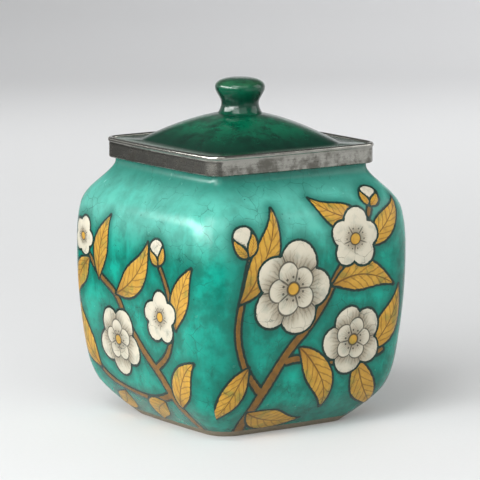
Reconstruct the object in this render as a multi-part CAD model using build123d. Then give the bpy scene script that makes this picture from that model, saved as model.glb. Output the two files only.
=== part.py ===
from build123d import *
import math
import os

# Square stoneware jar with a metal collar round its mouth and a domed lid with a knob.
# Millimetres. The jar stands on z = 0, its axis is Z, and its four faces look along X and Y.
# Widths are measured between the middles of opposite faces, and rises from one level to the next.

# Plan of every level
face_radius = 600.0  # each face bows out a little, as an arc of this radius

# Jar: outline from the foot to the neck
foot_width = 75.0
foot_corner = 11.0
foot_lean = 42.0  # degrees above the ground, where the wall leaves the foot
heel_draw = 7.0  # how far the heel lies inside the belly, on each side
heel_rise = 18.5
heel_lean = 66.0
flank_draw = 2.6
flank_rise = 19.5
flank_lean = 83.0
belly_width = 124.4
belly_rise = 40.0
belly_corner = 18.5
shoulder_draw = 1.8
shoulder_rise = 22.0
shoulder_lean = 104.0
shoulder_pull = 10.0  # how far the outline keeps the shoulder's direction
neck_width = 89.0
neck_rise = 20.0
neck_corner = 5.0
neck_pull = 5.0  # how far the outline has the neck's direction before the neck
outline_steps = 14

# Jar: walls, foot ring and lip
wall = 5.5
floor_thickness = 6.0
foot_ring_width = 5.5
foot_recess = 2.5
inner_neck_corner = 4.0
inner_belly_corner = 13.0
lip_overhang = 1.2  # how far the lip stands out from the neck
neck_reach = 2.3  # straight part of the neck, under the lip
lip_depth = 5.0
lip_round = 1.0

# Collar: a metal strip round the lip, bedded on a thin layer of plaster
bedding = 0.6
collar_wall = 1.2
collar_rise = 3.5  # how far the collar stands above the lip, as a wall round the lid
bead_radius = 1.1
crimp_thickness = 0.9
crimp_gap = 0.3

# Lid
lid_play = 0.9  # between the lid's edge and the collar's bead, all round
rim_thickness = 2.9
rim_round = 0.95
rim_land = 7.5  # flat border between the lid's edge and its dome
dome_rise = 13.0  # from the rim to the seat of the knob
dome_corner = 13.0
hollow_corner = 6.0
dome_steps = 7
dome_roundness = 0.93  # corner of the dome's top level, as a share of its half width
lid_thickness = 4.6
spigot_play = 1.1
spigot_wall = 4.0
spigot_depth = 8.0

# Knob
knob_seat_radius = 10.4
knob_seat_lean = 115.0  # degrees above the ground, where the knob leaves its seat
knob_waist_radius = 8.9
knob_waist_rise = 4.6
knob_cap_radius = 11.8
knob_cap_rise = 7.6
knob_top_rise = 4.6
knob_crown = 0.64  # how flat the knob's top is, from 0, pointed, to 1, square


# Levels that other pieces share
belly_height = heel_rise + flank_rise + belly_rise
neck_height = belly_height + shoulder_rise + neck_rise
lip_bottom = neck_height + neck_reach
lip_height = lip_bottom + lip_depth
collar_bottom = lip_bottom - crimp_thickness
collar_top = lip_height + collar_rise
rim_top = lip_height + rim_thickness
knob_seat = rim_top + dome_rise

# Half widths that other pieces share
belly_half = belly_width / 2
neck_half = neck_width / 2
mouth_half = neck_half - wall
lip_half = neck_half + lip_overhang
strip_inside = lip_half + bedding
strip_outside = strip_inside + collar_wall
bead_half = (strip_inside + strip_outside) / 2
lid_half = bead_half - bead_radius - lid_play
dome_half = lid_half - rim_land


def heading(lean):
    """Direction that leans this many degrees above the ground."""
    return (math.cos(math.radians(lean)), math.sin(math.radians(lean)))


def plan(half, corner, z):
    """A square level with bowed faces and round corners, at height z."""
    drop = face_radius - half
    middle = (math.sqrt(2 * (face_radius - corner) ** 2 - drop**2) - drop) / 2
    reach = math.hypot(middle, middle + drop)
    side_x = middle / reach * face_radius
    side_y = (middle + drop) / reach * face_radius - drop
    bend = middle + corner / math.sqrt(2)
    quarter = [
        ThreePointArc((-side_x, side_y), (0, half), (side_x, side_y)),
        ThreePointArc((side_x, side_y), (bend, bend), (side_y, side_x)),
    ]
    edges = [edge.rotate(Axis.Z, -90 * turn) for turn in range(4) for edge in quarter]
    return (Pos(0, 0, z) * make_face(edges)).face()


def neck_plan(half, z):
    """A level that runs parallel to the neck, inside or outside it."""
    return plan(half, neck_corner + half - neck_half, z)


def mouth_plan(play, z):
    """A level of the mouth, or of something that drops into it with that play."""
    return plan(mouth_half - play, inner_neck_corner - play, z)


def prism(face, height):
    return extrude(face, amount=height, dir=(0, 0, 1))


def ring(outer_half, inner_half, z, height):
    return prism(neck_plan(outer_half, z), height) - prism(neck_plan(inner_half, z), height)


def jar_outline():
    """The wall's outer face in the XZ plane: a spline up to the shoulder, then a drawn-in neck."""
    shoulder_height = belly_height + shoulder_rise
    shoulder = Vector(belly_half - shoulder_draw, shoulder_height)
    neck = Vector(neck_half, neck_height)
    side = Spline(
        (foot_width / 2, 0),
        (belly_half - heel_draw, heel_rise),
        (belly_half - flank_draw, heel_rise + flank_rise),
        (belly_half, belly_height),
        shoulder,
        tangents=[heading(lean) for lean in (foot_lean, heel_lean, flank_lean, 90, shoulder_lean)],
    )
    throat = Bezier(
        shoulder,
        shoulder + Vector(*heading(shoulder_lean)) * shoulder_pull,
        neck - Vector(0, neck_pull),
        neck,
    )
    return Wire([side, throat])


def jar_levels(outline, inset, end_corner, widest_corner):
    """Evenly spaced levels along an outline that is set in from the wall's outer face by inset."""
    levels = []
    for step in range(outline_steps + 1):
        point = outline @ (step / outline_steps)
        if point.Y < belly_height:
            end_half, corner = foot_width / 2, foot_corner
        else:
            end_half, corner = neck_half, end_corner
        share = (point.X + inset - end_half) / (belly_half - end_half)
        share = max(0.0, min(1.0, share))
        levels.append(plan(point.X, corner + (widest_corner - corner) * share, point.Y))
    return levels


def make_jar_body():
    outline = jar_outline()
    inside = outline.offset_2d(wall, side=Side.LEFT, closed=False)
    shell = loft(jar_levels(outline, 0, neck_corner, belly_corner))
    neck = prism(neck_plan(neck_half, neck_height), lip_height - neck_height)
    lip = prism(neck_plan(lip_half, lip_bottom), lip_depth)
    cavity = loft(jar_levels(inside, wall, inner_neck_corner, inner_belly_corner))
    cavity -= prism(plan(belly_half, belly_corner, 0), foot_recess + floor_thickness)
    mouth = prism(mouth_plan(0, neck_height - neck_pull), lip_height - neck_height + neck_pull)
    recess = prism(plan(foot_width / 2 - foot_ring_width, foot_corner - foot_ring_width, 0), foot_recess)
    jar = shell + neck + lip - cavity - mouth - recess
    return fillet(jar.edges().filter_by_position(Axis.Z, lip_height, lip_height), lip_round)


def make_collar_bedding():
    return ring(strip_inside, lip_half, lip_bottom, lip_depth)


def block(left, right, bottom, top):
    return Pos(left, bottom) * Rectangle(right - left, top - bottom, align=(Align.MIN, Align.MIN))


def make_mouth_collar():
    """The strip, its round bead along the top, and its edge turned in under the lip, as one section."""
    path = neck_plan(neck_half, 0).outer_wire()
    outward = (path % 0).cross(Vector(0, 0, 1))
    outward = outward * math.copysign(1, outward.dot(path @ 0))
    bead_height = collar_top - bead_radius
    strip = block(strip_inside - neck_half, strip_outside - neck_half, collar_bottom, bead_height)
    crimp = block(crimp_gap, strip_outside - neck_half, collar_bottom, lip_bottom)
    bead = Pos(bead_half - neck_half, bead_height) * Circle(bead_radius)
    side_on = Plane(path @ 0, x_dir=outward, z_dir=outward.cross(Vector(0, 0, 1)))
    return sweep(side_on * (strip + crimp + bead), path=path)


def dome_levels(base, outer_half, outer_corner, rise):
    """Levels of a pillow dome, square at its base, and round below the knob."""
    top_half = knob_seat_radius
    levels = []
    for step in range(dome_steps + 1):
        half = outer_half + (top_half - outer_half) * step / dome_steps
        share = (outer_half**2 - half**2) / (outer_half**2 - top_half**2)
        done = (outer_half - half) / (outer_half - top_half)
        roundness = outer_corner / outer_half * (1 - done) + dome_roundness * done
        levels.append(plan(half, half * roundness, base + rise * share))
    return levels


def make_lid_shell():
    """The domed lid: a flat rim on the lip, and a ring below it that drops into the mouth."""
    rim = prism(neck_plan(lid_half, lip_height), rim_thickness)
    rim = fillet(rim.edges().group_by(Axis.Z)[-1], rim_round)
    dome = loft(dome_levels(rim_top, dome_half, dome_corner, dome_rise))
    hollow_half = mouth_half - spigot_play - spigot_wall
    spigot = prism(mouth_plan(spigot_play, lip_height - spigot_depth), spigot_depth)
    well = prism(plan(hollow_half, hollow_corner, lip_height - spigot_depth), spigot_depth)
    hollow_rise = rim_thickness + dome_rise - lid_thickness
    hollow = loft(dome_levels(lip_height, hollow_half, hollow_corner, hollow_rise))
    return rim + dome + spigot - well - hollow


def make_lid_knob():
    """A turned knob that flares from its waist to a low crown."""
    cap_height = knob_waist_rise + knob_cap_rise
    top = cap_height + knob_top_rise
    flank = Spline(
        (knob_seat_radius, 0),
        (knob_waist_radius, knob_waist_rise),
        (knob_cap_radius, cap_height),
        tangents=[heading(lean) for lean in (knob_seat_lean, 90, 90)],
    )
    crown = Bezier(
        (knob_cap_radius, cap_height),
        (knob_cap_radius, cap_height + knob_top_rise * knob_crown),
        (knob_cap_radius * knob_crown, top),
        (0, top),
    )
    half = make_face([Line((0, 0), (knob_seat_radius, 0)), flank, crown, Line((0, top), (0, 0))])
    return Pos(0, 0, knob_seat) * revolve(Plane.XZ * half, Axis.Z)


pieces = {
    "jar_body": make_jar_body(),
    "collar_bedding": make_collar_bedding(),
    "mouth_collar": make_mouth_collar(),
    "lid_shell": make_lid_shell(),
    "lid_knob": make_lid_knob(),
}
os.makedirs("parts", exist_ok=True)
for name, shape in pieces.items():
    export_step(shape, f"parts/{name}.step")
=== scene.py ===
import math

import bpy
import numpy as np
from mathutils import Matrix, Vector


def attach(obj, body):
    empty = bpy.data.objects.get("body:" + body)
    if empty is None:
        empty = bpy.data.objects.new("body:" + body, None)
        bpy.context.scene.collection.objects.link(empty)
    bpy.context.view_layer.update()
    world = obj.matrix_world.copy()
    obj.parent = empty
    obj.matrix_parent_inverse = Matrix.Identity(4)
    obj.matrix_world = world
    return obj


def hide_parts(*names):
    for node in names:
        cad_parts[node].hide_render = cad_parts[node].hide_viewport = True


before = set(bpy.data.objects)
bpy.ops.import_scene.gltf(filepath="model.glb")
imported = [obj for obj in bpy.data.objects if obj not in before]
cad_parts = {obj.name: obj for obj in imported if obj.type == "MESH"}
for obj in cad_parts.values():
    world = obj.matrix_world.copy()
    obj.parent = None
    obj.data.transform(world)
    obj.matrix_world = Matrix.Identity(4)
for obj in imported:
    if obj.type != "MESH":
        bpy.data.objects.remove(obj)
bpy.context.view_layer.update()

# A square glazed jar with a metal collar and a domed green lid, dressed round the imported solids.
# Shapes are worked out in millimetres, and become metres when a mesh is made.

MM = 0.001
TURN = 2 * math.pi

# Plan of every level, as in the solids
FACE_RADIUS = 600.0
FINE = (130, 38)  # columns of a mesh along a face and round a corner
PLAIN = (56, 22)
ARC_STEPS = 5  # stretches in each rounded edge of a section

# Jar. A half is half a width, from the axis to the middle of a face.
FOOT_HALF = 37.5
FOOT_CORNER = 11.0
FOOT_RING = 5.5
FOOT_RECESS = 2.5
FOOT_ROUNDS = (0.5, 0.8)  # inner and outer edge of the foot ring
FLOOR_HEIGHT = 8.5
BELLY_HALF = 62.2
BELLY_HEIGHT = 78.0
BELLY_CORNER = 18.5
NECK_HALF = 44.5
NECK_HEIGHT = 120.0
NECK_CORNER = 5.0
WALL = 5.5
INNER_NECK_CORNER = 4.0
INNER_BELLY_CORNER = 13.0
LIP_BOTTOM = 122.3
LIP_HALF = 45.7
LIP_HEIGHT = 127.3
LIP_ROUNDS = (0.3, 0.3, 1.0, 1.0)  # under the lip, its lower edge and its two upper edges

# Jar outline up to the shoulder, as (half, height, lean in degrees), and from there to the neck
OUTLINE = [
    (FOOT_HALF, 0.0, 42.0),
    (55.2, 18.5, 66.0),
    (59.6, 38.0, 83.0),
    (BELLY_HALF, BELLY_HEIGHT, 90.0),
    (60.4, 100.0, 104.0),
]
SHOULDER_PULL = 10.0  # how far the outline keeps the shoulder's direction
NECK_PULL = 5.0  # how far the outline has the neck's direction before the neck
CURVE_STEPS = 200  # points along each stretch of a smooth outline
THROAT_STEPS = 60

# Curve from the inner wall to the floor of the jar
BOWL_START = 5.0  # height above the floor
BOWL_BEND = (3.0, 0.3)  # inwards from the wall, and above the floor
BOWL_END = 9.0  # inwards from the wall
BOWL_STEPS = 10

# Collar section, from the neck outwards
COLLAR_INSIDE = 1.8
COLLAR_OUTSIDE = 3.0
COLLAR_CRIMP = 0.3
CRIMP_THICKNESS = 0.9
CRIMP_ROUND = 0.8
CRIMP_INNER_ROUND = 0.3
COLLAR_TOP = 130.8
COLLAR_WAVE = 0.09
BEAD_RADIUS = 1.1
BEAD_STEPS = 18
STRIP_ROWS = 5
STRIP_LOW = 1.5  # the strip's outer rows start this far above its lower edge
STRIP_HIGH = 2.2  # and end this far below the middle of the bead
STRIP_INNER_HIGH = 2.0  # the same for its inner face

# Lid
LID_HALF = 44.9
RIM_THICKNESS = 2.9
RIM_LAND = 7.5
RIM_ROUNDS = (0.95, 0.4, 0.5, 1.2, 1.2)  # edges of the rim, root of the ring, lower edges of the ring
DOME_RISE = 13.0
DOME_CORNER = 13.0
DOME_ROUNDNESS = 0.93
DOME_ROWS = 42
HOLLOW_CORNER = 6.0
HOLLOW_ROWS = 14
LID_THICKNESS = 4.6
LID_WAVE = 0.18
LID_INSET = 0.1
SPIGOT_PLAY = 1.1
SPIGOT_WALL = 4.0
SPIGOT_DEPTH = 8.0
SEAT_HALF = 10.4

# Glaze of the lid and knob, and the shade painted into it, with strengths from 0 to 1
GLAZED_RIM_ROWS = 8  # rows of the rim, from the dome outwards, that are glazed
THIN_EDGE = (1.6, 0.2)  # the glaze thins between these distances from the rim's edge
DOME_POOL_AND_SHADE = (15.0, 1.0)  # the pooled glaze and painted shade deepen between these distances from the dome's foot
SEAT_POOL_AND_SHADE = 0.8  # pooled glaze and painted shade round the knob's seat
SEAT_POOL_AND_SHADE_WIDTH = 6.0
CAP_THIN = 0.4
CAP_THIN_RISE = 2.4  # above the knob's widest level
CAP_THIN_WIDTH = 1.5
# The knob's glaze is darker all over, and more in its waist: pooled glaze and painted shade under the cap
KNOB_POOL = 0.45
WAIST_POOL_AND_SHADE = 0.5
WAIST_POOL_AND_SHADE_WIDTH = 4.0

# Knob, above the lid's seat
KNOB_SEAT = 143.2  # above the ground
SEAT_LEAN = 115.0  # degrees above the ground, where the knob leaves its seat
WAIST_RADIUS = 8.9
WAIST_RISE = 4.6
CAP_RADIUS = 11.8
CAP_RISE = 12.2
KNOB_RISE = 16.8
KNOB_CROWN = 0.64
KNOB_TIP = 0.3  # radius of the small flat at the top
KNOB_INSET = 0.15  # the knob lies this far inside the solid
KNOB_WAVE = 0.008  # as a share of its radius
KNOB_ROW_STEP = 0.42
KNOB_COLUMNS = 96
CROWN_STEPS = 30
FILLET = [(1.6, -1.0), (0.2, -0.2)]  # outwards from the seat's edge, and above the seat
FILLET_END = 60  # point of the flank's curve where the fillet ends
FILLET_STEPS = 8

# Surface of the clay
ROW_STEP = 0.85
INNER_ROW_STEP = 2.4
FIRST_ROW = 4  # the wall's lower rows give way to the rounded foot
CLAY_INSET = 0.5  # the wall lies this far inside the solid, to leave room for its unevenness
CLAY_WAVE = 0.22
UNEVEN_FROM = (1.0, 12.0)  # heights between which the unevenness sets in
UNEVEN_TO = (110.0, 118.0)  # and fades out
PAINT_RELIEF = 0.22
PAINT_SLOPE = (-2.2, 0.4)  # distances from a shape's edge between which the paint rises
CRACKLE = 6.5  # size of the cells of the fine cracks in the glaze

# Painted decoration
FAR = 40.0
OUTLINE_GAP = 1.2
FOOT_LINE = 1.2  # the glaze stops this far above the ground
LEAF_STEPS = 40
PETALS = 5
PLUMP = 0.43  # size of a petal, as a share of its blossom's radius
DOUBLE_BLOSSOM = 15.0  # a blossom of a larger radius has two rings of petals
DOUBLE_MARK = 5.0  # added to v inside such a blossom
INNER_REACH = 0.35  # centres of the inner petals, as a share of the blossom's radius
INNER_SIZE = 0.25
SINGLE_EYE = 0.2
DOUBLE_EYE = 0.15
PETAL_STROKES = 40.0  # strokes round a blossom
LEAF_VEINS = 46.0  # side veins along a leaf, times 2 pi

# Lines of a blossom: where each fades out and where it is full, as shares of the blossom's radius
FOLD_LINE = (0.026, 0.01)
RIM_LINE = (0.028, 0.014)
EYE_LINE = (0.032, 0.018)
DOT_SQUARES = (0.0012, 0.0005)  # the same for the dots, squared
DOT_RING = 1.75  # radius of the ring of dots, as a share of the eye's

# Camera, in metres and radians. It stands to the left of the front face.
CAMERA_TURN = math.radians(-34.62)
RIGHTWARD = (math.cos(CAMERA_TURN), math.sin(CAMERA_TURN), 0)  # to the right in its picture
CAMERA_RISE = math.radians(9.02)
CAMERA_AWAY = 1.5
AIM_HEIGHT = 0.0833
FOCAL_LENGTH = 241.0
SENSOR_WIDTH = 36.0

# Light, in watts, metres and degrees. Azimuth 0 lies on the -Y side and 90 on +X.
LAMPS = [
    dict(name="key", power=34.0, size=(1.2, 1.5), azimuth=-62, rise=44, away=2.4),
    dict(name="window", power=22.0, size=(1.7, 0.4), azimuth=-76, rise=17, away=1.5),
    dict(name="glint", power=50.0, size=(1.9, 0.55), azimuth=-107, rise=25, away=1.6, diffuse=False),
    dict(name="fill", power=25.0, size=(2.4, 2.0), azimuth=-22, rise=40, away=2.7),
    dict(name="side", power=16.0, size=(1.6, 1.6), azimuth=62, rise=24, away=2.4, shadow=False),
    dict(name="back", power=3.5, size=(1.4, 0.8), azimuth=150, rise=30, away=1.25,
         shadow=False, glossy=False),
]
LAMP_AIM = 0.07  # height that the lamps look at
WORLD_STRENGTH = 0.8
CEILING_STRENGTH = 0.16
CEILING_START = 0.5  # upward share of a direction, where the ceiling's tone begins

# Floor and flag, in metres
FLOOR_HALF = 3.2
FLOOR_BEND = 1.0  # radius of the sweep from the floor to the backdrop
FLOOR_BEND_STEPS = 16
BACKDROP_HEIGHT = 1.1
FLAG_AZIMUTHS = (-176.0, -12.0)  # degrees
FLAG_REACH = (0.3, 1.9)  # nearest and farthest edge, from the object's axis
FLAG_HEIGHT = 0.002
FLAG_STEPS = 13

# Strength of the floor's glow near the object, and far from it to the left and right
GLOW_NEAR = 0.02
GLOW_LEFT = 0.13
GLOW_RIGHT = 0.42
GLOW_SPAN = 0.5  # metres to each side, where it has these strengths
GLOW_REACH = (0.1, 2.0)  # metres from the object, between which it grows


# Points and meshes

def add_object(name, data):
    """A new object in the scene."""
    piece = bpy.data.objects.new(name, data)
    bpy.context.scene.collection.objects.link(piece)
    return piece


def add_mesh(name, points, faces):
    """A new smooth mesh in the scene, from points in metres."""
    mesh = bpy.data.meshes.new(name)
    mesh.from_pydata(points, [], faces)
    mesh.polygons.foreach_set("use_smooth", np.ones(len(faces), bool))
    return add_object(name, mesh)


def add_strip(name, points):
    """A strip in the scene. Its points come in pairs, one on each edge."""
    return add_mesh(name, points, [(k, k + 1, k + 3, k + 2) for k in range(0, len(points) - 2, 2)])


def plan_ring(half, corner, columns=FINE):
    """Points round one level: a bowed face and a round corner, four times. Also each point's
    distance along its quarter from the middle of the face, and the length of a quarter."""
    drop = FACE_RADIUS - half
    middle = (math.sqrt(2 * (FACE_RADIUS - corner) ** 2 - drop**2) - drop) / 2
    bow = math.atan2(middle, middle + drop)
    face = np.linspace(-bow, bow, columns[0], endpoint=False)
    bend = np.linspace(bow, math.pi / 2 - bow, columns[1], endpoint=False)
    s = np.concatenate([FACE_RADIUS * np.sin(face), middle + corner * np.sin(bend)])
    n = np.concatenate([FACE_RADIUS * np.cos(face) - drop, middle + corner * np.cos(bend)])
    length = np.concatenate([FACE_RADIUS * face, FACE_RADIUS * bow + corner * (bend - bow)])
    quarter = FACE_RADIUS * bow * 2 + corner * (math.pi / 2 - 2 * bow)
    points = []
    for turn in range(4):
        c, d = math.cos(turn * math.pi / 2), math.sin(turn * math.pi / 2)
        points.append(np.stack([s * c + n * d, s * d - n * c], 1))
    return np.concatenate(points), length, quarter


def rings_of(levels, columns=FINE):
    """(half, z, corner) levels as an array of rings of 3-D points."""
    rings = []
    for half, z, corner in levels:
        ring, _, _ = plan_ring(half, corner, columns)
        rings.append(np.column_stack([ring, np.full(len(ring), z)]))
    return np.array(rings)


def ring_mesh(name, rings, loop=False):
    """A smooth mesh through rings of points. loop joins the last ring to the first. Without it, one
    flat face closes each end."""
    rows, columns = rings.shape[:2]
    index = np.arange(rows * columns).reshape(rows, columns)
    low = index if loop else index[:-1]
    high = np.roll(index, -1, 0) if loop else index[1:]
    quads = np.stack([low, np.roll(low, -1, 1), np.roll(high, -1, 1), high], -1).reshape(-1, 4)
    faces = quads.tolist()
    if not loop:
        faces.append(index[0][::-1].tolist())
        faces.append(index[-1].tolist())
    return add_mesh(name, (rings.reshape(-1, 3) * MM).tolist(), faces)


def store(piece, name, values):
    """Keeps one number for each point of the mesh, for its material to read."""
    kept = piece.data.attributes.new(name, "FLOAT", "POINT")
    kept.data.foreach_set("value", np.asarray(values, np.float32).ravel())


def store_rows(piece, **rows):
    """The same, with one number for all the points of each ring."""
    for name, values in rows.items():
        store(piece, name, np.repeat(values, len(piece.data.vertices) // len(values)))


def heading(lean):
    """Direction that leans this many degrees above the ground."""
    return np.array([math.cos(math.radians(lean)), math.sin(math.radians(lean))])


def hermite(stations):
    """A smooth line through (x, y, lean) stations."""
    line = []
    t = np.linspace(0, 1, CURVE_STEPS, endpoint=False)[:, None]
    for (x0, y0, lean0), (x1, y1, lean1) in zip(stations, stations[1:]):
        reach = math.hypot(x1 - x0, y1 - y0)
        start, end = np.array([x0, y0]), np.array([x1, y1])
        go, come = reach * heading(lean0), reach * heading(lean1)
        line.append(
            (2 * t**3 - 3 * t**2 + 1) * start + (t**3 - 2 * t**2 + t) * go
            + (3 * t**2 - 2 * t**3) * end + (t**3 - t**2) * come
        )
    return np.concatenate(line + [np.array([stations[-1][:2]])])


def bezier(points, count):
    """Points along a Bezier curve of any degree."""
    t = np.linspace(0, 1, count)[:, None]
    degree = len(points) - 1
    return sum(
        math.comb(degree, k) * t**k * (1 - t) ** (degree - k) * np.array([p])
        for k, p in enumerate(points)
    )


def lengths_along(line):
    """How far along the line each of its points lies."""
    return np.concatenate([[0], np.cumsum(np.hypot(*np.diff(line, axis=0).T))])


def evenly(line, step):
    """The same line with points about step apart."""
    reach = lengths_along(line)
    wanted = np.linspace(0, reach[-1], max(2, round(reach[-1] / step) + 1))
    return np.column_stack([np.interp(wanted, reach, line[:, k]) for k in range(line.shape[1])])


def rounded(points, radii):
    """A section with an arc of the given radius at each inner point."""
    line = [np.array(points[0], float)]
    for before, here, after, radius in zip(points, points[1:], points[2:], radii):
        before, here, after = (np.array(p, float) for p in (before, here, after))
        back = (before - here) / np.linalg.norm(before - here)
        on = (after - here) / np.linalg.norm(after - here)
        half_angle = math.acos(max(-1, min(1, float(back @ on)))) / 2
        cut = radius / math.tan(half_angle)
        centre = here + (back + on) / np.linalg.norm(back + on) * radius / math.sin(half_angle)
        first, last = here + back * cut - centre, here + on * cut - centre
        for share in np.linspace(0, 1, ARC_STEPS + 1):
            blend = first * (1 - share) + last * share
            line.append(centre + blend / np.linalg.norm(blend) * radius)
    line.append(np.array(points[-1], float))
    return np.array(line)


def waves(x, y, z, seed):
    """A slow, smooth unevenness between -1 and 1, from a few crossing waves."""
    shift = np.random.default_rng(seed).uniform(0, TURN, 6)
    return (
        np.sin(x / 13 + z / 31 + shift[0]) + np.sin(y / 15 - z / 27 + shift[1])
        + np.sin(z / 11 + x / 40 + shift[2]) + np.sin((x + y) / 21 + shift[3])
        + 0.5 * np.sin(z / 5.2 + y / 17 + shift[4]) + 0.5 * np.sin((x - y) / 8 + shift[5])
    ) / 5


def outward_normals(rings):
    """Unit normals of a wall of rings, pointing away from the axis."""
    round_it = np.roll(rings, -1, 1) - np.roll(rings, 1, 1)
    up_it = np.gradient(rings, axis=0)
    normals = np.cross(round_it, up_it)
    return normals / np.linalg.norm(normals, axis=2, keepdims=True)


def smoothstep(x, low, high):
    """0 below low, 1 above high, smooth between them."""
    t = np.clip((x - low) / (high - low), 0, 1)
    return t * t * (3 - 2 * t)


# Painted shapes, as signed distances in millimetres that are negative inside a shape

class Painting:
    """The decoration of one face, drawn by a hand that wavers a little. Each shape that is added
    covers what lies below it and leaves a gap round itself, which a dark outline fills."""

    def __init__(self, across, rise):
        sway = 0.45 * np.sin(rise / 7.3 + 1.3) + 0.25 * np.sin(across / 4.1 + rise / 9)
        lift = 0.4 * np.sin(across / 6.7 + 0.4) + 0.25 * np.sin(rise / 3.9 - across / 8)
        self.x = across + sway
        self.y = rise + lift
        self.pale, self.ochre, self.stem = (np.full(across.shape, FAR) for _ in range(3))
        self.u, self.v = np.zeros(across.shape), np.zeros(across.shape)

    def add(self, layer, distance, u, v):
        """Adds a shape, with its own coordinates u and v for the strokes inside it."""
        for other in (self.pale, self.ochre, self.stem):
            np.maximum(other, OUTLINE_GAP - distance, out=other)
        np.minimum(layer, distance, out=layer)
        inside = distance < OUTLINE_GAP
        self.u[inside] = np.broadcast_to(u, distance.shape)[inside]
        self.v[inside] = np.broadcast_to(v, distance.shape)[inside]

    def nearest(self, points, count=18):
        """Distance to a Bezier curve, how far along it the nearest point lies, and on which side."""
        line = bezier(points, count)
        best = np.full(self.x.shape, 1e9)
        along, side = np.zeros(self.x.shape), np.ones(self.x.shape)
        for k, (a, b) in enumerate(zip(line, line[1:])):
            d = b - a
            t = np.clip(((self.x - a[0]) * d[0] + (self.y - a[1]) * d[1]) / (d @ d), 0, 1)
            off_x, off_y = self.x - a[0] - t * d[0], self.y - a[1] - t * d[1]
            gap = np.hypot(off_x, off_y)
            closer = gap < best
            best[closer] = gap[closer]
            along[closer] = ((k + t) / (count - 1))[closer]
            side[closer] = np.sign(d[0] * off_y - d[1] * off_x)[closer]
        return best, along, side

    def branch(self, points, start, end):
        """A stem that tapers from one width to the other."""
        distance, along, _ = self.nearest(points)
        self.stem[...] = np.minimum(self.stem, distance - (start + (end - start) * along) / 2)

    def leaf(self, base, tip, bend, width):
        """A pointed leaf. bend is how far its middle leaves the straight line, u runs along it, and
        v is 0 on its midrib."""
        base, tip = np.array(base, float), np.array(tip, float)
        across = np.array([base[1] - tip[1], tip[0] - base[0]]) / np.linalg.norm(tip - base)
        middle = (base + tip) / 2 + across * bend * 2
        distance, along, side = self.nearest([base, middle, tip], LEAF_STEPS)
        swell = np.sin(math.pi * along**0.85) ** 1.15
        self.add(self.ochre, distance - width / 2 * swell, along, side * distance / width)

    def blossom(self, x, y, radius, turn):
        """An open blossom, whose petals differ a little. u and v are shares of its radius from its
        middle, with v along a petal."""
        edge = np.hypot(self.x - x, self.y - y) - radius / 2
        for k in range(PETALS):
            angle = turn + TURN * k / PETALS
            size = radius * PLUMP * (1 + 0.06 * math.cos(2.3 * k + turn))
            reach = radius * (1 - PLUMP) * (1 + 0.05 * math.sin(3.7 * k + radius))
            px, py = x + reach * math.sin(angle), y + reach * math.cos(angle)
            edge = np.minimum(edge, np.hypot(self.x - px, self.y - py) - size)
        off_x, off_y = (self.x - x) / radius, (self.y - y) / radius
        u = off_x * math.cos(turn) - off_y * math.sin(turn)
        v = off_x * math.sin(turn) + off_y * math.cos(turn)
        self.add(self.pale, edge, u, v + DOUBLE_MARK * (radius > DOUBLE_BLOSSOM))

    def bud(self, x, y, radius, angle):
        """A closed bud on two small sepals."""
        dx, dy = math.sin(angle), math.cos(angle)
        off_x, off_y = self.x - x - dx * radius * 0.4, self.y - y - dy * radius * 0.4
        along, across = off_x * dx + off_y * dy, off_x * dy - off_y * dx
        self.add(self.pale, np.hypot(off_x, off_y) - radius, across / radius / 3, 0.75 + along / radius / 4)
        for side in (-1, 1):
            base = (x - dx * radius * 1.1, y - dy * radius * 1.1)
            tip = (x + dx * radius * 0.6 + side * dy * radius, y + dy * radius * 0.6 - side * dx * radius)
            self.leaf(base, tip, -0.2 * side * radius, radius * 0.75)


def paint_front(p):
    p.branch([(-24, -16), (-44, 26), (-8, 40), (6, 66)], 4.6, 2.8)
    p.branch([(6, 66), (12, 82), (26, 86), (34, 108)], 2.8, 1.6)
    p.branch([(-15, 36), (4, 40), (22, 26), (40, 36)], 2.6, 1.6)
    p.branch([(-29, 24), (-46, 44), (-43, 66), (-36, 86)], 2.6, 1.5)
    p.leaf((-31, 12), (2, 2), -4.0, 13)
    p.leaf((-8, 42), (10, 10), 3.4, 13)
    p.leaf((-35, 36), (-46, 6), -2.6, 11)
    p.leaf((8, 70), (44, 67), 4.4, 13)
    p.leaf((30, 98), (0, 112), 3.4, 12)
    p.leaf((28, 86), (48, 108), -2.8, 11)
    p.leaf((32, 36), (48, 66), -3.6, 12)
    p.leaf((-42, 66), (-22, 108), -4.4, 13)
    p.leaf((24, 34), (44, 4), -3.0, 12)
    p.blossom(-14, 70, 21, 0.3)
    p.blossom(22, 43, 16.5, 0.9)
    p.blossom(22, 90, 13.5, 0.1)
    p.bud(-38, 93, 5.4, -0.3)
    p.bud(34, 109, 4.4, 0.2)


def paint_left(p):
    p.branch([(26, -16), (38, 26), (8, 34), (-6, 54)], 4.4, 2.4)
    p.branch([(-6, 54), (-14, 68), (-30, 66), (-40, 84)], 2.4, 1.5)
    p.branch([(18, 32), (37, 42), (37, 62), (24, 80)], 2.4, 1.5)
    p.branch([(27, 20), (8, 12), (-16, 10), (-36, 26)], 2.6, 1.5)
    p.leaf((29, 12), (46, 38), 3.2, 12)
    p.leaf((16, 14), (-2, -4), -2.8, 12)
    p.leaf((-18, 13), (-36, 0), 2.8, 12)
    p.leaf((-12, 62), (16, 90), -4.2, 13)
    p.leaf((-27, 68), (-17, 98), 2.8, 11)
    p.leaf((36, 52), (48, 82), 2.8, 11.5)
    p.leaf((-33, 24), (-47, 54), 3.4, 12)
    p.leaf((-36, 76), (-50, 56), -2.4, 10)
    p.blossom(-12, 40, 16.5, 0.6)
    p.blossom(24, 56, 12, 0.0)
    p.blossom(-41, 86, 9, 0.4)
    p.bud(23, 85, 4.8, -0.2)


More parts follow.
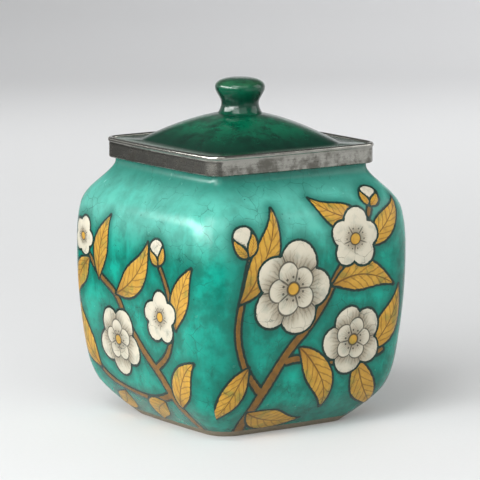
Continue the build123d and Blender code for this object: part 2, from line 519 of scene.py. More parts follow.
def paint_back(p):
    p.branch([(24, -16), (46, 34), (12, 44), (-4, 64)], 4.4, 2.6)
    p.branch([(-4, 64), (-12, 80), (-28, 80), (-38, 102)], 2.6, 1.6)
    p.branch([(16, 43), (12, 68), (26, 84), (24, 106)], 2.4, 1.5)
    p.branch([(31, 26), (8, 20), (-14, 34), (-38, 24)], 2.6, 1.5)
    p.leaf((32, 22), (48, 54), -3.4, 12)
    p.leaf((12, 25), (-2, -4), 3.0, 12)
    p.leaf((-14, 28), (-44, 48), -3.4, 12)
    p.leaf((-2, 62), (-36, 68), -3.4, 12.5)
    p.leaf((22, 88), (47, 100), -3.0, 12)
    p.leaf((-14, 78), (-4, 110), 3.6, 12)
    p.leaf((30, 10), (42, -4), -2.0, 9)
    p.blossom(24, 66, 18, 0.2)
    p.blossom(-10, 46, 14.5, 0.7)
    p.blossom(-36, 94, 12.5, 0.3)
    p.blossom(-36, 24, 10.5, 0.8)
    p.bud(24, 108, 5.0, 0.1)


def paint_right(p):
    p.branch([(-26, -16), (-42, 28), (-8, 44), (2, 70)], 4.4, 2.4)
    p.branch([(2, 70), (6, 86), (24, 86), (34, 106)], 2.4, 1.5)
    p.branch([(-17, 36), (12, 34), (30, 44), (40, 60)], 2.6, 1.5)
    p.branch([(-8, 48), (-30, 56), (-42, 76), (-38, 96)], 2.4, 1.5)
    p.leaf((-30, 14), (2, 4), -3.6, 12.5)
    p.leaf((8, 38), (34, 12), 3.4, 12.5)
    p.leaf((-28, 62), (-47, 38), 3.0, 12)
    p.leaf((4, 80), (-12, 110), -3.4, 12)
    p.leaf((18, 85), (46, 76), 3.2, 12)
    p.leaf((34, 50), (47, 28), 2.6, 11)
    p.blossom(0, 60, 19, 0.5)
    p.blossom(-36, 94, 12.5, 0.2)
    p.blossom(34, 60, 11, 0.8)
    p.bud(35, 108, 5.0, 0.5)


FACE_PAINTINGS = (paint_front, paint_right, paint_back, paint_left)


# Jar

def wall_corner(outer_half, z, neck_corner, belly_corner):
    """Corner radius of a level of the wall, which grows from the foot and the neck to the belly."""
    if z < BELLY_HEIGHT:
        end_half, corner = FOOT_HALF, FOOT_CORNER
    else:
        end_half, corner = NECK_HALF, neck_corner
    share = float(np.clip((outer_half - end_half) / (BELLY_HALF - end_half), 0, 1))
    return corner + (belly_corner - corner) * share


def jar_outline():
    """The wall's outer face, from the foot to the neck, as (half, z) points."""
    half, z, lean = OUTLINE[-1]
    shoulder = np.array([half, z])
    pull = shoulder + SHOULDER_PULL * heading(lean)
    throat = bezier(
        [shoulder, pull, (NECK_HALF, NECK_HEIGHT - NECK_PULL), (NECK_HALF, NECK_HEIGHT)],
        THROAT_STEPS,
    )
    return np.concatenate([hermite(OUTLINE), throat[1:]])


def inner_outline(outline):
    """The wall's inner face, from the neck down and in along the floor, as (half, z) points."""
    along = np.gradient(outline, axis=0)
    along /= np.hypot(*along.T)[:, None]
    inside = outline + WALL * np.column_stack([-along[:, 1], along[:, 0]])
    inside = inside[inside[:, 1] > FLOOR_HEIGHT + BOWL_START][::-1]
    half = inside[-1][0]
    inwards, above = BOWL_BEND
    bowl = bezier(
        [inside[-1], (half - inwards, FLOOR_HEIGHT + above), (half - BOWL_END, FLOOR_HEIGHT)],
        BOWL_STEPS,
    )
    return evenly(np.concatenate([inside, bowl[1:]]), INNER_ROW_STEP)


def jar_levels():
    """Levels from under the foot, up the outside, over the lip and down the inside to the floor.
    Returns them with the number of rows before the wall and in it, and the wall's lengths."""
    outline = jar_outline()
    wall = evenly(outline, ROW_STEP)
    ring = FOOT_HALF - FOOT_RING
    foot = rounded([(ring, FOOT_RECESS), (ring, 0), (FOOT_HALF, 0), wall[FIRST_ROW]], FOOT_ROUNDS)
    foot_rows = [(h, z, FOOT_CORNER + h - FOOT_HALF) for h, z in foot[:-1]]
    wall_rows = [(h, z, wall_corner(h, z, NECK_CORNER, BELLY_CORNER)) for h, z in wall[FIRST_ROW:]]
    mouth = NECK_HALF - WALL
    lip = rounded(
        [(NECK_HALF, NECK_HEIGHT), (NECK_HALF, LIP_BOTTOM), (LIP_HALF, LIP_BOTTOM), (LIP_HALF, LIP_HEIGHT),
         (mouth, LIP_HEIGHT), (mouth, NECK_HEIGHT)],
        LIP_ROUNDS,
    )
    lip_share = np.clip((lip[:, 0] - mouth) / WALL, 0, None)
    lip_corners = INNER_NECK_CORNER + (NECK_CORNER - INNER_NECK_CORNER) * lip_share
    lip_rows = [(h, z, c) for (h, z), c in zip(lip[1:], lip_corners[1:])]
    inner_rows = [
        (h, z, wall_corner(h + WALL, z, INNER_NECK_CORNER, INNER_BELLY_CORNER))
        for h, z in inner_outline(outline)[1:]
    ]
    reach = lengths_along(wall)
    belly = np.interp(BELLY_HEIGHT, wall[:, 1], reach)
    rise = BELLY_HEIGHT + reach[FIRST_ROW:] - belly
    return foot_rows + wall_rows + lip_rows + inner_rows, len(foot_rows), len(wall_rows), rise


def unpainted(shape):
    """The numbers that a painting keeps, where there is none."""
    paint = {name: np.full(shape, FAR) for name in ("pale", "ochre", "stem")}
    paint.update(u=np.zeros(shape), v=np.zeros(shape))
    return paint


def paint_wall(levels, rise):
    """The paintings of the four faces, on every point of the wall."""
    lengths, faces = [], []
    for half, z, corner in levels:
        _, length, quarter = plan_ring(half, corner)
        turn = length > quarter / 2
        lengths.append(np.tile(np.where(turn, length - quarter, length), 4))
        faces.append(np.concatenate([(k + turn) % 4 for k in range(4)]))
    across, faces = np.array(lengths), np.array(faces)
    rises = np.broadcast_to(rise[:, None], across.shape)
    kept = unpainted(across.shape)
    for k, paint in enumerate(FACE_PAINTINGS):
        here = faces == k
        painting = Painting(across[here], rises[here])
        paint(painting)
        for name, values in kept.items():
            values[here] = getattr(painting, name)
    return kept


def make_jar():
    """The glazed jar, with its paint raised a little and its clay uneven."""
    levels, before, tall, rise = jar_levels()
    rings = rings_of(levels)
    wall = slice(before, before + tall)
    paint = paint_wall(levels[wall], rise)
    x, y, z = np.moveaxis(rings[wall], 2, 0)
    free = smoothstep(z, *UNEVEN_FROM) * (1 - smoothstep(z, *UNEVEN_TO))
    shapes = np.minimum(paint["pale"], paint["ochre"])
    relief = PAINT_RELIEF * (1 - smoothstep(shapes, *PAINT_SLOPE))
    step = free * (relief - CLAY_INSET + CLAY_WAVE * waves(x, y, z, 3))
    rings[wall] += outward_normals(rings[wall]) * step[..., None]
    jar = ring_mesh("glazed_jar", rings)
    glaze = np.full(len(levels), FAR)
    glaze[:before] = -FAR
    glaze[wall] = rise - rise[0] - FOOT_LINE
    for name, values in unpainted(rings.shape[:2]).items():
        values[wall] = paint[name]
        store(jar, name, values)
    store_rows(jar, glaze=glaze)
    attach(jar, "jar")
    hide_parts("jar_body")
    return jar


# Collar, lid and knob

def make_collar():
    """The metal strip with its rolled bead and the edge turned in under the lip."""
    middle = (COLLAR_INSIDE + COLLAR_OUTSIDE) / 2
    bead_height = COLLAR_TOP - BEAD_RADIUS
    bottom = LIP_BOTTOM - CRIMP_THICKNESS
    opening = math.acos((COLLAR_OUTSIDE - middle) / BEAD_RADIUS)
    bead = [
        (middle + BEAD_RADIUS * math.cos(a), bead_height + BEAD_RADIUS * math.sin(a))
        for a in np.linspace(-opening, math.pi + opening, BEAD_STEPS)
    ]
    crimp = rounded(
        [(COLLAR_CRIMP, bottom), (COLLAR_OUTSIDE, bottom), (COLLAR_OUTSIDE, bead_height)],
        [CRIMP_ROUND],
    )[:-1]
    strip_heights = np.linspace(bottom + STRIP_LOW, bead_height - STRIP_HIGH, STRIP_ROWS)
    strip = [(COLLAR_OUTSIDE, z) for z in strip_heights]
    inside = rounded(
        [(COLLAR_INSIDE, bead_height - STRIP_INNER_HIGH), (COLLAR_INSIDE, LIP_BOTTOM),
         (COLLAR_CRIMP, LIP_BOTTOM)],
        [CRIMP_INNER_ROUND],
    )
    section = np.concatenate([crimp, strip, bead, inside])
    levels = [(NECK_HALF + out, z, NECK_CORNER + out) for out, z in section]
    rings = rings_of(levels, PLAIN)
    x, y, z = np.moveaxis(rings, 2, 0)
    worn = COLLAR_WAVE * waves(x * 1.4, y * 1.4, z, 11)
    away = rings[..., :2] / np.linalg.norm(rings[..., :2], axis=2, keepdims=True)
    rings[..., :2] += away * worn[..., None]
    collar = ring_mesh("metal_collar", rings, loop=True)
    bead_rows = np.zeros(len(section))
    bead_rows[len(crimp) + len(strip):][:len(bead)] = 1
    store_rows(collar, bead=bead_rows)
    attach(collar, "jar")
    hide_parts("mouth_collar")
    return collar


def dome_levels(base, outer_half, outer_corner, rise, count):
    """Levels of a pillow dome from its base to its top, as in the solids."""
    levels = []
    for half in np.linspace(outer_half, SEAT_HALF, count):
        share = (outer_half**2 - half**2) / (outer_half**2 - SEAT_HALF**2)
        done = (outer_half - half) / (outer_half - SEAT_HALF)
        roundness = outer_corner / outer_half * (1 - done) + DOME_ROUNDNESS * done
        levels.append((half, base + rise * share, half * roundness))
    return levels


def make_lid():
    """The domed lid, from the seat of its knob outwards, round the rim and ring, and in under the dome."""
    rim_top = LIP_HEIGHT + RIM_THICKNESS
    dome_half = LID_HALF - RIM_LAND
    mouth = NECK_HALF - WALL
    spigot = mouth - SPIGOT_PLAY
    hollow = spigot - SPIGOT_WALL
    bottom = LIP_HEIGHT - SPIGOT_DEPTH
    dome = dome_levels(rim_top, dome_half, DOME_CORNER, DOME_RISE, DOME_ROWS)[::-1]
    rim = rounded(
        [(dome_half, rim_top), (LID_HALF, rim_top), (LID_HALF, LIP_HEIGHT), (spigot, LIP_HEIGHT),
         (spigot, bottom), (hollow, bottom), (hollow, LIP_HEIGHT)],
        RIM_ROUNDS,
    )
    edge_corner = NECK_CORNER + LID_HALF - NECK_HALF
    spigot_corner = INNER_NECK_CORNER - SPIGOT_PLAY
    key_halves = [hollow, spigot, LID_HALF]
    key_corners = [HOLLOW_CORNER, spigot_corner, edge_corner]
    rim_rows = [(h, z, float(np.interp(h, key_halves, key_corners))) for h, z in rim[1:-1]]
    rim_rows[0] = (*rim_rows[0][:2], edge_corner)
    inner_rise = RIM_THICKNESS + DOME_RISE - LID_THICKNESS
    inside = dome_levels(LIP_HEIGHT, hollow, HOLLOW_CORNER, inner_rise, HOLLOW_ROWS)
    levels = dome + rim_rows + inside
    rings = rings_of(levels, PLAIN)
    x, y, z = np.moveaxis(rings, 2, 0)
    row = np.arange(len(levels))
    top = row < len(dome)
    swell = LID_WAVE * waves(x * 1.2, y * 1.2, z, 5) * top[:, None]
    rings[..., 2] += swell - LID_INSET * top[:, None]
    lid = ring_mesh("glazed_lid", rings)
    halves = np.array([h for h, _, _ in levels])
    thin = smoothstep(halves, LID_HALF - THIN_EDGE[0], LID_HALF - THIN_EDGE[1])
    under = np.where(row < len(dome) + GLAZED_RIM_ROWS, 0.0, 1.0)
    # Darker glaze at the dome's foot beside the collar and round the knob's seat: pooled glaze and painted
    # shade.
    dome_pool = smoothstep(halves, dome_half - DOME_POOL_AND_SHADE[0], dome_half - DOME_POOL_AND_SHADE[1])
    seat_pool = SEAT_POOL_AND_SHADE * (1 - smoothstep(halves, SEAT_HALF, SEAT_HALF + SEAT_POOL_AND_SHADE_WIDTH))
    store_rows(lid, thin=thin, under=under, pool=np.maximum(dome_pool, seat_pool) * (1 - under))
    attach(lid, "lid")
    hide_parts("lid_shell")
    return lid


def make_knob():
    """A turned knob, with a fillet of clay where it joins the lid."""
    flank = hermite([(SEAT_HALF, 0, SEAT_LEAN), (WAIST_RADIUS, WAIST_RISE, 90), (CAP_RADIUS, CAP_RISE, 90)])
    crown_rise = KNOB_RISE - CAP_RISE
    crown = bezier(
        [(CAP_RADIUS, CAP_RISE), (CAP_RADIUS, CAP_RISE + crown_rise * KNOB_CROWN),
         (CAP_RADIUS * KNOB_CROWN, KNOB_RISE), (KNOB_TIP, KNOB_RISE)],
        CROWN_STEPS,
    )
    foot = [(SEAT_HALF + out, z) for out, z in FILLET]
    fillet = bezier([*foot, flank[FILLET_END]], FILLET_STEPS)
    profile = evenly(np.concatenate([fillet, flank[FILLET_END + 1:], crown[1:]]), KNOB_ROW_STEP)
    angles = np.linspace(0, TURN, KNOB_COLUMNS, endpoint=False)
    rings = np.zeros((len(profile), len(angles), 3))
    radii = profile[:, :1] - KNOB_INSET
    rings[..., 0] = radii * np.cos(angles)
    rings[..., 1] = radii * np.sin(angles)
    rings[..., 2] = KNOB_SEAT - KNOB_INSET + profile[:, 1:]
    x, y, z = np.moveaxis(rings, 2, 0)
    rings[..., :2] *= (1 + KNOB_WAVE * waves(x * 2, y * 2, z * 1.5, 9))[..., None]
    knob = ring_mesh("glazed_knob", rings)
    heights = profile[:, 1]
    thin = np.exp(-((heights - CAP_RISE - CAP_THIN_RISE) / CAP_THIN_WIDTH) ** 2) * CAP_THIN
    # Darker glaze all over the knob, and more in its waist, where it is pooled glaze and painted shade.
    pool = KNOB_POOL + WAIST_POOL_AND_SHADE * np.exp(-((heights - WAIST_RISE) / WAIST_POOL_AND_SHADE_WIDTH) ** 2)
    store_rows(knob, thin=thin, under=np.zeros(len(profile)), pool=pool)
    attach(knob, "lid")
    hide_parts("lid_knob")
    return knob


# Materials

def rgb(red, green, blue):
    """A colour as a screen shows it, 0 to 255, in the linear values that Blender uses."""
    linear = [((c / 255 + 0.055) / 1.055) ** 2.4 if c > 10.3 else c / 255 / 12.92 for c in (red, green, blue)]
    return (*linear, 1.0)


class Shader:
    """One material's nodes, in few words. Sizes are in millimetres of the object."""

    def __init__(self, name, **surface):
        self.material = bpy.data.materials.new(name)
        self.material.use_nodes = True
        self.tree = self.material.node_tree
        self.tree.nodes.clear()
        self.surface = self.tree.nodes.new("ShaderNodeBsdfPrincipled")
        output = self.tree.nodes.new("ShaderNodeOutputMaterial")
        self.tree.links.new(self.surface.outputs[0], output.inputs[0])
        self.place = self.node("TexCoord", output="Object")
        self.set(**surface)

    def put(self, socket, value):
        """Gives a socket a fixed value, or links the output of another node to it."""
        if isinstance(value, bpy.types.NodeSocket):
            self.tree.links.new(value, socket)
        else:
            socket.default_value = value

    def set(self, **surface):
        """Sets inputs of the surface, by name."""
        for name, value in surface.items():
            self.put(self.surface.inputs[name.replace("_", " ")], value)

    def node(self, kind, inputs=None, output=0, **settings):
        """The output of a new node."""
        node = self.tree.nodes.new("ShaderNode" + kind)
        for name, value in settings.items():
            setattr(node, name, value)
        for key, value in (inputs or {}).items():
            self.put(node.inputs[key], value)
        return node.outputs[output]

    def attribute(self, name):
        return self.node("Attribute", output="Fac", attribute_name=name)

    def math(self, operation, *values):
        return self.node("Math", dict(enumerate(values)), operation=operation)

    def times(self, one, other):
        return self.math("MULTIPLY", one, other)

    def plus(self, one, other):
        return self.math("ADD", one, other)

    def minus(self, one, other):
        return self.math("SUBTRACT", one, other)

    def mix(self, share, low, high):
        """A colour between two others."""
        return self.node("Mix", {0: share, 6: low, 7: high}, output=2, data_type="RGBA")

    def number(self, share, low, high):
        """A number between two others, which may differ from place to place."""
        return self.node("Mix", {0: share, 2: low, 3: high}, data_type="FLOAT")

    def blend(self, share, low, high):
        """A number between two fixed ones."""
        return self.node("MapRange", {"Value": share, "To Min": low, "To Max": high})

    def step(self, value, start, end):
        """0 before start, 1 after end, smooth between them. start may be above end."""
        inputs = {"Value": value, "From Min": start, "From Max": end}
        return self.node("MapRange", inputs, interpolation_type="SMOOTHSTEP")

    def stretched(self, x, y, z):
        """Places multiplied along each axis, so that a pattern is finer where the number is larger."""
        return self.node("Mapping", {"Vector": self.place, "Scale": (x, y, z)})

    def noise(self, size, detail=3.0, rough=0.55, place=None, output=0):
        """A soft pattern of spots. Output 0 is a number, and 1 a colour."""
        inputs = {"Vector": place or self.place, "Scale": 1 / (size * MM)}
        inputs.update(Detail=detail, Roughness=rough)
        return self.node("TexNoise", inputs, output)

    def warped(self, size, reach):
        """Places that a noise of the given size moves by up to about half of reach."""
        colour = self.noise(size, 2, output=1)
        push = self.node("VectorMath", {0: colour, 1: (0.5, 0.5, 0.5)}, operation="SUBTRACT")
        push = self.node("VectorMath", {0: push, "Scale": reach * MM}, operation="SCALE")
        return self.node("VectorMath", {0: self.place, 1: push}, operation="ADD")

    def cells(self, size, feature="F1", place=None):
        """Distance to the middle of a cell, or to its edge, in a pattern of cells."""
        inputs = {"Vector": place or self.place, "Scale": 1 / (size * MM)}
        return self.node("TexVoronoi", inputs, feature=feature)

    def height(self):
        """Height above the ground, in millimetres."""
        up = self.node("SeparateXYZ", {0: self.place}, output="Z")
        return self.math("DIVIDE", up, MM)

    def bump(self, height, depth, normal=None):
        """depth is the relief of a height of 1, in millimetres."""
        inputs = {"Height": height, "Distance": depth * MM, "Strength": 1.0}
        if normal:
            inputs["Normal"] = normal
        return self.node("Bump", inputs)

    def dress(self, piece):
        piece.data.materials.clear()
        piece.data.materials.append(self.material)


def mottled_ground(s, patch):
    """The turquoise of the jar, before its painting."""
    height = s.height()
    streak = s.noise(5, 3, 0.6, s.stretched(1, 1, 0.22))
    ground = s.mix(s.step(patch, 0.34, 0.66), rgb(2, 104, 88), rgb(6, 148, 128))
    ground = s.mix(s.times(s.step(streak, 0.5, 0.74), 0.5), ground, rgb(20, 162, 144))
    ground = s.mix(s.times(s.step(s.noise(34, 3), 0.42, 0.7), 0.55), ground, rgb(1, 84, 72))
    # Paler on the shoulder, where the glaze runs thin; this is partly a painted sheen, standing in for the
    # highlight there.
    high = s.times(s.step(height, 80, 102), s.blend(patch, 0.3, 0.85))
    ground = s.mix(high, ground, rgb(98, 174, 160))
    # Darker towards the foot: glaze pooling there, and painted shade on the lower wall that turns under.
    ground = s.mix(s.times(s.step(height, 26, 2), 0.3), ground, rgb(2, 76, 66))
    # Darker in the throat under the collar: painted shade, standing in for the collar's shade and its dark
    # reflection.
    ground = s.mix(s.times(s.step(height, 108, 119), 0.75), ground, rgb(4, 88, 74))
    fleck = s.step(s.cells(3.2), 0.16, 0.08)
    fleck = s.times(fleck, s.step(s.noise(11, 2), 0.52, 0.66))
    return s.mix(s.times(fleck, 0.6), ground, rgb(2, 48, 42))


def ochre_colour(s):
    gold = s.mix(s.noise(3.6, 3, 0.6), rgb(146, 104, 26), rgb(202, 160, 66))
    return s.mix(s.times(s.step(s.noise(7, 3), 0.5, 0.7), 0.55), gold, rgb(92, 112, 52))


def petal_colour(s, u, v):
    """Cream petals with grey strokes, round an ochre eye with a ring of dots. A double blossom has
    a second ring of petals, which lies between the first ones."""
    fold = math.pi / PETALS
    double = s.math("GREATER_THAN", v, DOUBLE_MARK / 2)
    v = s.minus(v, s.times(double, DOUBLE_MARK))
    away = s.math("SQRT", s.plus(s.times(u, u), s.times(v, v)))
    angle = s.math("ARCTAN2", u, v)
    outer = s.math("WRAP", angle, fold, -fold)
    inner = s.math("WRAP", s.minus(angle, fold), fold, -fold)
    chord = s.math("POWER", s.times(s.math("SINE", inner), INNER_REACH), 2.0)
    chord = s.math("SQRT", s.minus(INNER_SIZE**2, chord))
    edge = s.plus(s.times(s.math("COSINE", inner), INNER_REACH), chord)
    within = s.times(double, s.math("LESS_THAN", away, edge))
    eye = s.blend(double, SINGLE_EYE, DOUBLE_EYE)
    on_ring = s.minus(double, within)
    base = s.number(on_ring, eye, edge)
    out = s.minus(away, base)

    cream = s.mix(s.step(out, -0.05, 0.4), rgb(132, 124, 106), rgb(188, 182, 164))
    cream = s.mix(s.times(s.step(s.noise(4, 3), 0.5, 0.7), 0.45), cream, rgb(140, 146, 134))
    rays = s.math("SINE", s.plus(s.times(angle, PETAL_STROKES), s.times(s.noise(3, 2), 9.0)))
    ragged = s.plus(out, s.times(s.noise(1.5, 2), 0.3))
    strokes = s.times(s.step(rays, 0.1, 0.9), s.step(ragged, 0.5, 0.15))
    cream = s.mix(s.times(strokes, 0.6), cream, rgb(98, 88, 68))

    split = s.minus(fold, s.math("ABSOLUTE", s.number(within, outer, inner)))
    split = s.step(s.times(split, away), *FOLD_LINE)
    split = s.times(split, s.times(s.step(out, 0.36, 0.2), s.math("GREATER_THAN", out, 0.0)))
    rim = s.math("ABSOLUTE", s.minus(away, edge))
    rim = s.times(s.step(rim, *RIM_LINE), double)
    ring = s.step(s.math("ABSOLUTE", s.minus(away, eye)), *EYE_LINE)
    lines = s.math("MAXIMUM", s.math("MAXIMUM", split, rim), ring)
    dot_away = s.times(eye, DOT_RING)
    dot = s.minus(s.math("WRAP", angle, fold, 0.0), fold / 2)
    dot = s.math("POWER", s.times(dot, dot_away), 2.0)
    dot = s.plus(dot, s.math("POWER", s.minus(away, dot_away), 2.0))
    lines = s.math("MAXIMUM", lines, s.step(dot, *DOT_SQUARES))
    colour = s.mix(s.math("LESS_THAN", away, eye), cream, ochre_colour(s))
    return s.mix(s.times(lines, s.blend(s.noise(2.2, 2, 0.6), 0.6, 1.0)), colour, rgb(34, 32, 24))


def leaf_colour(s, u, v):
    """Ochre, browner towards the base, with a midrib and side veins that slant from it."""
    off = s.math("ABSOLUTE", v)
    slant = s.minus(u, s.times(off, 0.5))
    waver = s.times(s.noise(3, 2), 3.0)
    ribs = s.math("SINE", s.plus(s.times(slant, LEAF_VEINS), waver))
    ribs = s.times(s.step(ribs, 0.55, 1.0), 0.55)
    middle = s.step(s.plus(off, s.times(u, 0.016)), 0.042, 0.024)
    gold = s.mix(s.times(s.step(u, 0.4, 0.0), 0.5), ochre_colour(s), rgb(110, 68, 20))
    return s.mix(s.math("MAXIMUM", ribs, s.times(middle, 0.85)), gold, rgb(84, 54, 18))


def turquoise_glaze():
    s = Shader("turquoise_glaze", IOR=1.5, Specular_IOR_Level=0.3)
    patch = s.noise(9, 4, 0.62)
    shade = s.noise(2.2, 2, 0.6)
    wobble = s.times(s.minus(s.noise(1.7, 3, 0.6), 0.5), 0.9)
    pale, ochre, stem = (s.plus(s.attribute(name), wobble) for name in ("pale", "ochre", "stem"))
    u, v = s.attribute("u"), s.attribute("v")
    shapes = s.math("MINIMUM", s.math("MINIMUM", pale, ochre), stem)
    pooled = s.times(s.step(shapes, 7.0, 0.5), s.blend(patch, 0.4, 0.95))
    colour = s.mix(pooled, mottled_ground(s, patch), rgb(4, 78, 66))
    inked = s.times(s.step(shapes, 1.6, 0.9), s.blend(shade, 0.75, 1.0))
    colour = s.mix(inked, colour, rgb(18, 26, 22))
    colour = s.mix(s.step(pale, 0.1, -0.1), colour, petal_colour(s, u, v))
    colour = s.mix(s.step(ochre, 0.1, -0.1), colour, leaf_colour(s, u, v))
    wood = s.mix(s.noise(2.8, 3), rgb(66, 46, 20), rgb(138, 98, 36))
    colour = s.mix(s.step(stem, 0.1, -0.1), colour, wood)
    crackle = s.cells(CRACKLE, "DISTANCE_TO_EDGE", s.warped(CRACKLE / 2, CRACKLE / 3))
    crackle = s.times(s.step(crackle, 0.03, 0.008), s.step(s.noise(14, 3), 0.42, 0.68))
    colour = s.mix(s.times(crackle, 0.5), colour, rgb(8, 44, 38))
    glazed = s.step(s.plus(s.attribute("glaze"), s.times(wobble, 0.8)), -0.2, 0.25)
    clay = s.mix(s.noise(1.4, 4, 0.65), rgb(96, 88, 74), rgb(146, 136, 116))
    colour = s.mix(glazed, clay, colour)

    rough = s.blend(s.noise(6, 3), 0.16, 0.32)
    rough = s.plus(rough, s.times(s.step(shapes, 0.2, -0.2), 0.1))
    rough = s.number(glazed, 0.8, rough)
    peel = s.bump(s.noise(3.2, 2, 0.4), 0.07)
    edge = s.bump(s.step(shapes, 1.2, -0.6), 0.12, peel)
    grain = s.times(s.noise(0.7, 2, 0.6), s.minus(1.0, glazed))
    s.set(Base_Color=colour, Roughness=rough, Normal=s.bump(grain, 0.25, edge))
    return s


def emerald_glaze():
    s = Shader("emerald_glaze", IOR=1.5, Specular_IOR_Level=0.34)
    patch = s.noise(8, 4, 0.6)
    streak = s.noise(2.6, 3, 0.6)
    colour = s.mix(s.step(patch, 0.32, 0.68), rgb(1, 54, 38), rgb(2, 92, 64))
    colour = s.mix(s.times(s.step(streak, 0.52, 0.72), 0.35), colour, rgb(16, 114, 84))
    fleck = s.step(s.cells(2.6), 0.17, 0.07)
    colour = s.mix(s.times(fleck, 0.5), colour, rgb(4, 34, 28))
    # Darker where the glaze pools; at the dome's foot, round the knob's seat and in its waist this is also
    # painted shade.
    colour = s.mix(s.times(s.attribute("pool"), s.blend(patch, 0.55, 1.0)), colour, rgb(6, 30, 24))
    thin = s.times(s.attribute("thin"), s.blend(s.noise(4, 3), 0.2, 1.0))
    colour = s.mix(thin, colour, rgb(70, 112, 74))
    bare = s.step(s.attribute("under"), 0.4, 0.6)
    clay = s.mix(s.noise(1.4, 4, 0.65), rgb(150, 122, 92), rgb(196, 172, 138))
    colour = s.mix(bare, colour, clay)
    rough = s.number(bare, s.blend(s.noise(5, 3), 0.1, 0.24), 0.8)
    peel = s.bump(s.noise(3.0, 2, 0.4), 0.08)
    grain = s.times(s.noise(0.7, 2, 0.6), bare)
    s.set(Base_Color=colour, Roughness=rough, Normal=s.bump(grain, 0.25, peel))
    return s


def pewter():
    s = Shader("collar_metal", Metallic=1.0)
    cloud = s.noise(7, 4, 0.62)
    brushed = s.noise(1.1, 3, 0.6, s.stretched(0.12, 0.12, 2.2))
    tarnish = s.step(s.plus(cloud, s.times(brushed, 0.25)), 0.5, 0.78)
    tarnish = s.times(tarnish, s.blend(s.attribute("bead"), 0.85, 0.4))
    colour = s.mix(tarnish, rgb(156, 155, 148), rgb(86, 84, 77))
    spots = s.times(s.step(s.cells(2.1), 0.2, 0.1), s.step(s.noise(9, 2), 0.5, 0.62))
    colour = s.mix(s.times(spots, 0.7), colour, rgb(48, 46, 38))
    rough = s.plus(s.blend(tarnish, 0.16, 0.32), s.times(brushed, 0.06))
    dents = s.bump(s.noise(5, 2, 0.4), 0.1)
    lines = s.bump(brushed, 0.012, dents)
    s.set(Base_Color=colour, Roughness=rough, Normal=lines)
    return s


def plaster():
    s = Shader("plaster")
    colour = s.mix(s.noise(2.5, 4, 0.6), rgb(164, 152, 132), rgb(204, 196, 178))
    s.set(Base_Color=colour, Roughness=s.blend(s.noise(1.5, 3), 0.75, 0.95))
    s.set(Normal=s.bump(s.noise(0.8, 3, 0.6), 0.12))
    return s


# Floor, light and camera

def pale_floor():
    """A pale, nearly plain floor. What the camera and reflections see of it brightens with distance
    and to the right of the painted corner, as a lit backdrop does, and no light comes from that."""
    s = Shader("pale_floor", IOR=1.4)
    fine = s.noise(2.0, 3, 0.5)
    colour = s.mix(fine, rgb(212, 213, 213), rgb(217, 218, 218))
    rays = s.tree.nodes.new("ShaderNodeLightPath")
    seen = s.math("MAXIMUM", rays.outputs["Is Camera Ray"], rays.outputs["Is Glossy Ray"])
    seen = s.math("MAXIMUM", seen, rays.outputs["Is Transmission Ray"])
    distance = s.node("VectorMath", {0: s.place}, output="Value", operation="LENGTH")
    side = s.node("VectorMath", {0: s.place, 1: RIGHTWARD}, output="Value", operation="DOT_PRODUCT")
    span = {"Value": side, "From Min": -GLOW_SPAN, "From Max": GLOW_SPAN}
    far = s.node("MapRange", {**span, "To Min": GLOW_LEFT, "To Max": GLOW_RIGHT})
    glow = s.number(s.step(distance, *GLOW_REACH), GLOW_NEAR, far)
    s.set(Base_Color=colour, Roughness=s.blend(fine, 0.62, 0.7), Normal=s.bump(fine, 0.02))
    s.set(Emission_Color=rgb(252, 252, 255), Emission_Strength=s.times(glow, seen))
    return s


def make_floor():
    """A floor that sweeps up behind the object, square to the camera's direction."""
    profile = [(-FLOOR_HALF, 0.0)]
    for a in np.linspace(0, math.pi / 2, FLOOR_BEND_STEPS):
        depth = FLOOR_HALF - FLOOR_BEND + FLOOR_BEND * math.sin(a)
        profile.append((depth, FLOOR_BEND - FLOOR_BEND * math.cos(a)))
    profile.append((FLOOR_HALF, BACKDROP_HEIGHT))
    x, y, _ = RIGHTWARD
    points = [
        (x * side - y * depth, y * side + x * depth, z)
        for depth, z in profile
        for side in (-FLOOR_HALF, FLOOR_HALF)
    ]
    floor = add_strip("floor", points)
    return floor


def from_object(turn, rise):
    """Direction from the object to something at this azimuth and rise, in radians."""
    return Vector((math.sin(turn) * math.cos(rise), -math.cos(turn) * math.cos(rise), math.sin(rise)))


def make_lamp(name, power, size, azimuth, rise, away, diffuse=True, glossy=True, shadow=True):
    """A soft rectangular lamp that looks at the object."""
    light = bpy.data.lights.new(name, "AREA")
    light.shape = "RECTANGLE"
    light.size, light.size_y = size
    light.energy = power
    light.use_shadow = shadow
    back = from_object(math.radians(azimuth), math.radians(rise))
    lamp = add_object(name, light)
    lamp.location = Vector((0, 0, LAMP_AIM)) + back * away
    lamp.rotation_euler = back.to_track_quat("Z", "Y").to_euler()
    lamp.visible_camera = False
    lamp.visible_diffuse = diffuse
    lamp.visible_glossy = glossy


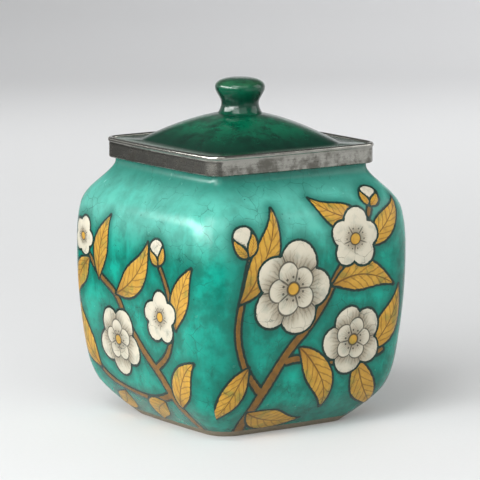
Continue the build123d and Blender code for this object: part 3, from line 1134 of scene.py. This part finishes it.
def make_world():
    """A pale horizon under a dark ceiling."""
    world = bpy.data.worlds.new("studio")
    world.use_nodes = True
    tree = world.node_tree
    place = tree.nodes.new("ShaderNodeTexCoord")
    split = tree.nodes.new("ShaderNodeSeparateXYZ")
    grade = tree.nodes.new("ShaderNodeMapRange")
    grade.inputs["From Max"].default_value = CEILING_START
    grade.inputs["To Min"].default_value = WORLD_STRENGTH
    grade.inputs["To Max"].default_value = CEILING_STRENGTH
    background = tree.nodes["Background"]
    background.inputs["Color"].default_value = (1.0, 1.0, 1.0, 1.0)
    tree.links.new(place.outputs["Generated"], split.inputs[0])
    tree.links.new(split.outputs["Z"], grade.inputs["Value"])
    tree.links.new(grade.outputs[0], background.inputs["Strength"])
    bpy.context.scene.world = world


def make_flag():
    """A dark cloth on the floor, round the object's left and front. It shows only in reflections."""
    s = Shader("flag_cloth", Roughness=0.9)
    s.set(Base_Color=s.mix(s.noise(3), rgb(16, 16, 16), rgb(26, 26, 26)))
    turns = np.radians(np.linspace(*FLAG_AZIMUTHS, FLAG_STEPS))
    points = [
        (reach * math.sin(turn), -reach * math.cos(turn), FLAG_HEIGHT)
        for turn in turns
        for reach in FLAG_REACH
    ]
    flag = add_strip("flag", points)
    flag.visible_camera = False
    flag.visible_diffuse = False
    flag.visible_shadow = False
    flag.visible_transmission = False
    s.dress(flag)


def make_camera():
    data = bpy.data.cameras.new("camera")
    data.lens = FOCAL_LENGTH
    data.sensor_width = SENSOR_WIDTH
    camera = add_object("camera", data)
    camera.location = Vector((0, 0, AIM_HEIGHT)) + from_object(CAMERA_TURN, CAMERA_RISE) * CAMERA_AWAY
    camera.rotation_euler = (math.pi / 2 - CAMERA_RISE, 0, CAMERA_TURN)
    bpy.context.scene.camera = camera


make_camera()
make_world()
pale_floor().dress(make_floor())
make_flag()
for settings in LAMPS:
    make_lamp(**settings)

turquoise_glaze().dress(make_jar())
pewter().dress(make_collar())
green = emerald_glaze()
green.dress(make_lid())
green.dress(make_knob())
plaster().dress(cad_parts["collar_bedding"])

bpy.context.scene.view_settings.view_transform = "Standard"
